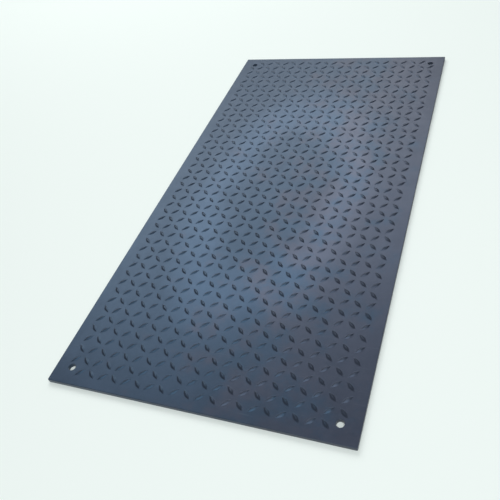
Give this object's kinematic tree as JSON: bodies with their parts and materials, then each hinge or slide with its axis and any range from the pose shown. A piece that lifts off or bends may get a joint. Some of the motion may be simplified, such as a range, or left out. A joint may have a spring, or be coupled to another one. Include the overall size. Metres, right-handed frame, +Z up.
{
  "type": "ground protection mat",
  "caption": "Black moulded plastic ground protection sheet with a raised lozenge tread on top, a flat underside and plain pin holes in its corners.",
  "frame": {"origin": "middle of the flat underside, on the ground", "axes": "+X across the mat, +Y along its length, +Z up out of the tread"},
  "size_m": [0.91, 1.82, 0.0155],
  "materials": {
    "moulding": "black moulded polyethylene with a low blue-grey sheen, lightly scuffed and dusty"
  },
  "bodies": {
    "root": {"mat": "moulding"}
  },
  "joints": []
}
